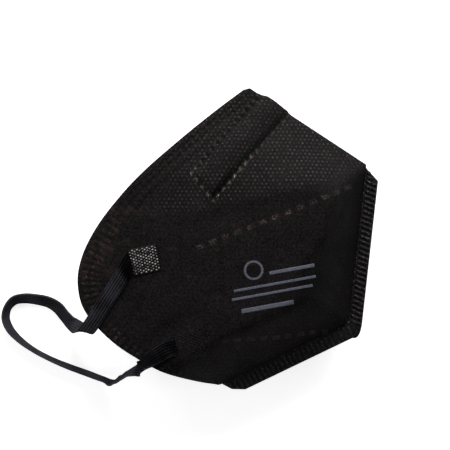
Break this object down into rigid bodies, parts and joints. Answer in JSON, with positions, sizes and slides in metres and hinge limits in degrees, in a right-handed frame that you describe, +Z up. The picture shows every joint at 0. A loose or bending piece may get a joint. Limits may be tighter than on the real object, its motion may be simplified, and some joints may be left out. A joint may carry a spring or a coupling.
{
  "type": "respirator mask",
  "caption": "Fold-flat respirator mask lying half open on its side, with a ribbed flange round the front and chin, a nose clip pocket and two flat elastic ear loops.",
  "frame": {"origin": "centre of the bounding box at the surface that the mask lies on", "axes": "+Z up, away from the surface; +X to the front of the mask, along the longest side of the box; +Y to the nose"},
  "size_m": [0.1564, 0.1352, 0.0569],
  "materials": {
    "cloth": "matt black bonded fibre with a fine grid of shiny press dots",
    "weld": "black fibre pressed into shiny ribs",
    "elastic": "blue-black flat knit with fine lengthwise ribs",
    "pad": "black fibre pressed into a grid of pale shiny dots"
  },
  "bodies": {
    "root": {"mask_shell": "cloth", "seam_band": "weld", "nose_clip_pocket": "cloth", "right_ear_loop": "elastic", "left_ear_loop": "elastic", "right_upper_weld": "pad", "right_lower_weld": "pad", "left_upper_weld": "pad", "left_lower_weld": "pad"}
  },
  "joints": []
}
